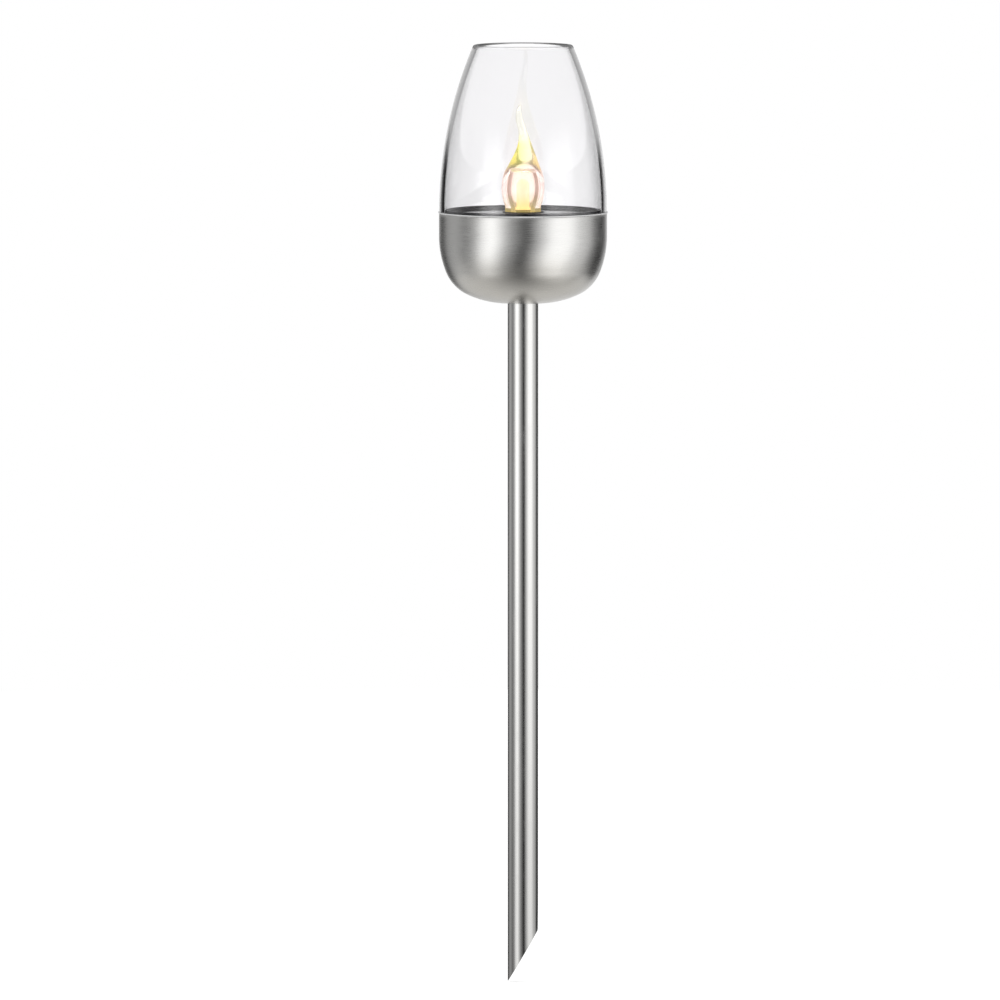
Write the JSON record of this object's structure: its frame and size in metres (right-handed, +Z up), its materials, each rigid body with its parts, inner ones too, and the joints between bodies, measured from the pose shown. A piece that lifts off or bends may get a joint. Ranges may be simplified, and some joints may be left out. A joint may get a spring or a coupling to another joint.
{
  "type": "solar torch light",
  "caption": "Solar garden torch: steel bowl with a clear open chimney and a flame-shaped bulb on a tubular stake with an oblique spike.",
  "frame": {"origin": "on the stake's axis, at the level of the spike's tip", "axes": "+Z up along the stake, -Y the front, spike's tip towards -X"},
  "size_m": [0.0686, 0.0686, 0.38],
  "materials": {
    "stainless": "brushed and polished stainless steel",
    "clear_glass": "clear, polished",
    "clear_plastic": "clear moulded plastic",
    "black_plastic": "fine matt moulding",
    "bezel_plastic": "pale silver-grey moulding",
    "seal_rubber": "matt black rubber",
    "zinc_screws": "bright zinc plating",
    "circuit_board": "green solder mask",
    "solar_cell": "dark blue silicon with fine silver fingers",
    "led_resin": "warm lit resin",
    "chip_plastic": "black epoxy",
    "wire_insulation": "red insulation",
    "battery_sleeve": "printed sleeve without text",
    "nickel_strip": "nickel plate"
  },
  "bodies": {
    "stake": {"stake_tube": "stainless"},
    "head": {"bowl": "stainless", "spigot": "black_plastic", "spigot_screw": "zinc_screws", "spigot_washer": "zinc_screws"},
    "module": {"module_housing": "black_plastic", "module_seal": "seal_rubber", "panel_bezel": "bezel_plastic", "bezel_screws": "zinc_screws", "panel_board": "circuit_board", "solar_cells": "solar_cell", "panel_window": "clear_plastic", "bulb_seal": "seal_rubber", "flame_bulb": "clear_plastic", "led": "led_resin", "led_spacer": "black_plastic", "pcb": "circuit_board", "pcb_screws": "zinc_screws", "driver_chip": "chip_plastic", "inductor": "chip_plastic", "panel_wires": "wire_insulation", "battery": "battery_sleeve", "battery_plus_contact": "nickel_strip", "battery_minus_contact": "nickel_strip", "battery_lid": "black_plastic", "lid_screw": "zinc_screws", "switch_body": "nickel_strip", "switch_wires": "wire_insulation"},
    "switch": {"switch_knob": "black_plastic"},
    "shade": {"chimney": "clear_glass"}
  },
  "joints": [
    {"name": "head_lift", "type": "slide", "parent": "stake", "child": "head", "axis": [0, 0, 1], "range_m": [0, 0.035]},
    {"name": "module_lift", "type": "slide", "parent": "head", "child": "module", "axis": [0, 0, 1], "range_m": [0, 0.03]},
    {"name": "chimney_lift", "type": "slide", "parent": "module", "child": "shade", "axis": [0, 0, 1], "range_m": [0, 0.05]},
    {"name": "switch_slide", "type": "slide", "parent": "module", "child": "switch", "axis": [1, 0, 0], "range_m": [0, 0.002]}
  ]
}
